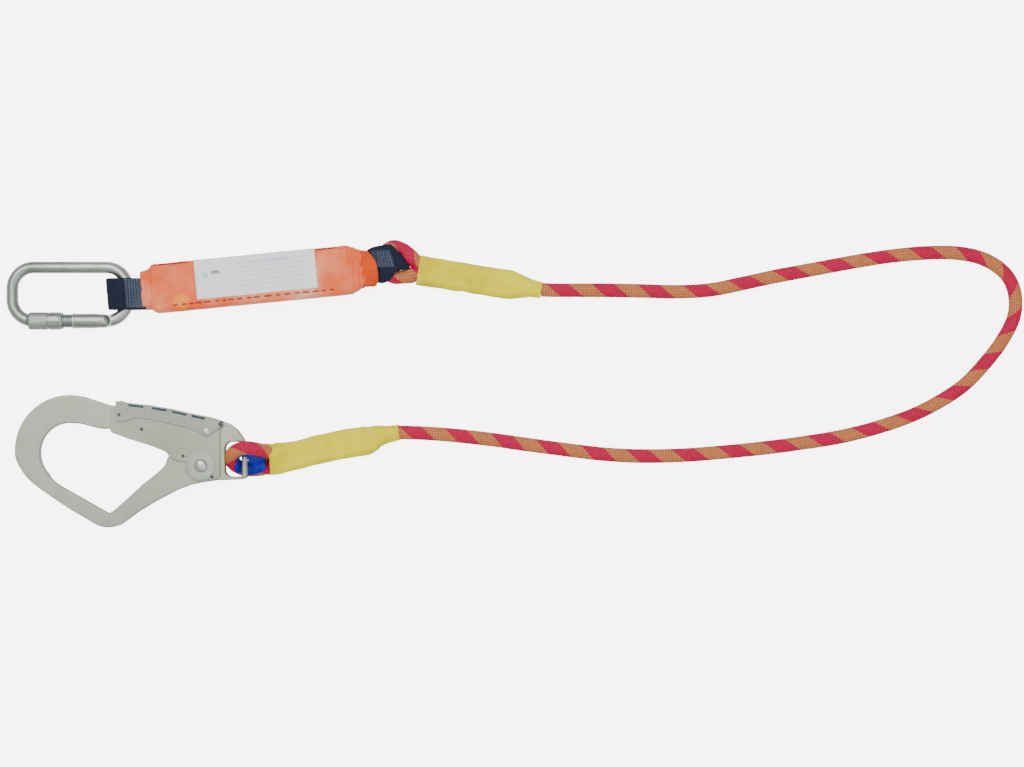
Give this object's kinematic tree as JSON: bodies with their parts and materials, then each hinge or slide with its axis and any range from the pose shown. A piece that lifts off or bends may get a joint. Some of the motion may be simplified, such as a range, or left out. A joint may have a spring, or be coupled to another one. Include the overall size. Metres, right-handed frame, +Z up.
{
  "type": "shock absorbing lanyard",
  "caption": "Fall-arrest lanyard: oval screw-gate carabiner, covered tear-webbing energy absorber, kernmantle rope with sewn eyes, and a self-closing scaffold hook.",
  "frame": {"origin": "on the floor under the middle of the carabiner, absorber, rope eyes and hook, leaving out the free rope", "axes": "+X from the carabiner towards the rope, +Y from the hook towards the absorber, +Z up from the floor the lanyard lies on"},
  "size_m": [0.9096, 0.2573, 0.0364],
  "materials": {
    "rope": "kernmantle polyamide rope, crimson with a gold tracer",
    "thread": "bonded polyester thread",
    "sleeve_yellow": "satin heat-shrink tube",
    "thimble_blue": "moulded nylon",
    "cover_film": "clear salmon film over orange webbing",
    "webbing_orange": "folded tear webbing",
    "webbing_navy": "polyester webbing",
    "label_white": "printed film",
    "carabiner_steel": "satin zinc-plated steel",
    "pin_steel": "bright steel",
    "hook_zinc": "satin zinc plating, slightly green"
  },
  "bodies": {
    "rope": {"rope": "rope", "rope_eye_absorber": "rope", "rope_eye_hook": "rope", "splice_stitches_absorber": "thread", "splice_stitches_hook": "thread", "shrink_sleeve_absorber": "sleeve_yellow", "shrink_sleeve_hook": "sleeve_yellow", "thimble": "thimble_blue"},
    "absorber": {"absorber_cover": "cover_film", "tear_webbing": "webbing_orange", "webbing_end": "webbing_orange", "anchor_loop": "webbing_navy", "anchor_loop_stitching": "thread", "rope_loop": "webbing_navy", "rope_loop_stitching": "thread", "label": "label_white"},
    "carabiner": {"carabiner_body": "carabiner_steel"},
    "carabiner_gate": {"carabiner_gate": "carabiner_steel", "carabiner_hinge_pin": "pin_steel", "carabiner_plunger": "pin_steel", "carabiner_spring": "pin_steel"},
    "screw_sleeve": {"carabiner_sleeve": "carabiner_steel"},
    "hook": {"hook_body": "hook_zinc", "gate_spring": "pin_steel"},
    "hook_gate": {"hook_gate": "hook_zinc", "gate_rivet": "pin_steel", "hinge_washers": "hook_zinc", "spring_anchor_pins": "pin_steel", "lever_pin": "pin_steel", "lever_spring": "pin_steel"},
    "lever": {"lock_lever": "hook_zinc", "latch_pin": "pin_steel"}
  },
  "joints": [
    {"name": "absorber_swing", "type": "hinge", "parent": "rope", "child": "absorber", "pos_m": [0.097, 0.11, 0.0104], "axis": [0, 1, 0], "range_deg": [-35, 35]},
    {"name": "carabiner_swing", "type": "hinge", "parent": "absorber", "child": "carabiner", "pos_m": [-0.13075, 0.081, 0.008], "axis": [0, 1, 0], "range_deg": [-4, 100]},
    {"name": "carabiner_gate_hinge", "type": "hinge", "parent": "carabiner", "child": "carabiner_gate", "pos_m": [-0.1525, 0.057, 0.008], "axis": [0, 0, -1], "range_deg": [0, 24], "stiffness_Nm_per_rad": 0.05, "springref_deg": -34.38},
    {"name": "screw_sleeve_slide", "type": "slide", "parent": "carabiner_gate", "child": "screw_sleeve", "axis": [1, 0, 0], "range_m": [0, 0.0085]},
    {"name": "hook_swing", "type": "hinge", "parent": "rope", "child": "hook", "pos_m": [-0.02475, -0.0664, 0.0184], "axis": [0, 1, 0], "range_deg": [-45, 45]},
    {"name": "hook_gate_hinge", "type": "hinge", "parent": "hook", "child": "hook_gate", "pos_m": [-0.06306, -0.07235, 0.01574], "axis": [-0.0694, 0, 0.9976], "range_deg": [0, 20], "stiffness_Nm_per_rad": 0.2, "springref_deg": -34.38, "deforming": ["gate_spring"]},
    {"name": "lever_hinge", "type": "hinge", "parent": "hook_gate", "child": "lever", "pos_m": [-0.05807, -0.04185, 0.01608], "axis": [-0.0694, 0, 0.9976], "range_deg": [0, 2.5], "stiffness_Nm_per_rad": 0.1, "springref_deg": -17.19, "deforming": ["lever_spring"]}
  ]
}
